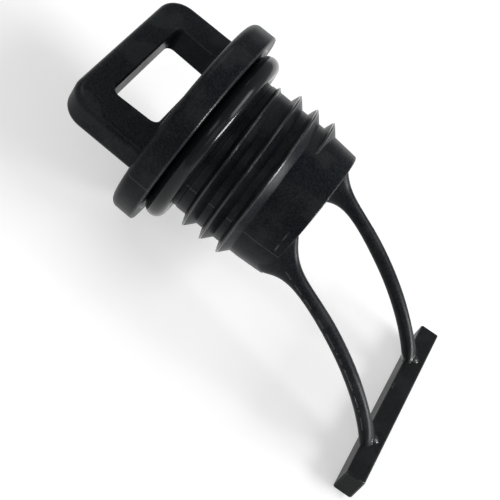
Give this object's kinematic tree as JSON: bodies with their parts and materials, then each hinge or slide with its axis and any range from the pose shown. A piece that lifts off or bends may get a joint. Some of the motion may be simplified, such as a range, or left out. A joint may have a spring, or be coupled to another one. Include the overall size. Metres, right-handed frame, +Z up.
{
  "type": "drain plug",
  "caption": "Black moulded screw-in drain plug for a boat hull, with a loop handle, a flange with a rubber sealing ring, and a crossbar on bent legs that keeps it captive.",
  "frame": {"origin": "point where the stem axis meets the flange's seat face", "axes": "+X from the handle to the crossbar, level; +Z up as the plug lies on the rim of its flange and on its crossbar; the stem axis rises towards the nose by 8.6 degrees from +X; Y is across the handle and along the crossbar"},
  "size_m": [0.0676, 0.0324, 0.031],
  "materials": {
    "moulded_black": "satin black moulded nylon with a fine grain",
    "rubber_black": "semi-gloss black rubber"
  },
  "bodies": {
    "root": {"plug_body": "moulded_black", "seal_ring": "rubber_black"}
  },
  "joints": []
}
